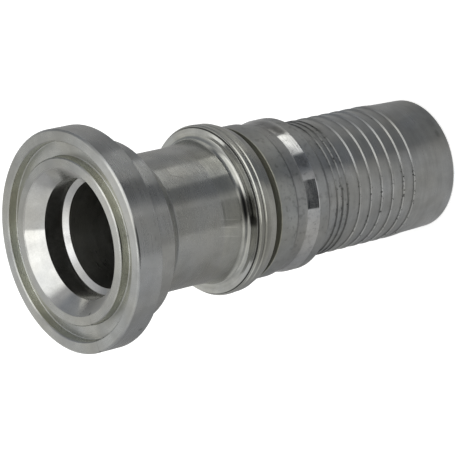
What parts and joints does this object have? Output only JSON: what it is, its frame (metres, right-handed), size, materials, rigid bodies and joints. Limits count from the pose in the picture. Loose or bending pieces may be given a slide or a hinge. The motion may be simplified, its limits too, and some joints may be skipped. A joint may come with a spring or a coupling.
{
  "type": "crimp hose fitting",
  "caption": "Straight steel hose insert: a serrated tail that a crimped ferrule locks onto, a collar, and a flange head with a face seal groove.",
  "frame": {"origin": "centre of the tail end, where the fitting stands", "axes": "+Z along the bore axis from the tail end up to the flange face; X and Y are any pair across it, since the part is round"},
  "size_m": [0.0604, 0.0604, 0.124],
  "materials": {
    "plated_steel": "turned and zinc plated, semi-bright"
  },
  "bodies": {
    "root": {"fitting_body": "plated_steel"}
  },
  "joints": []
}
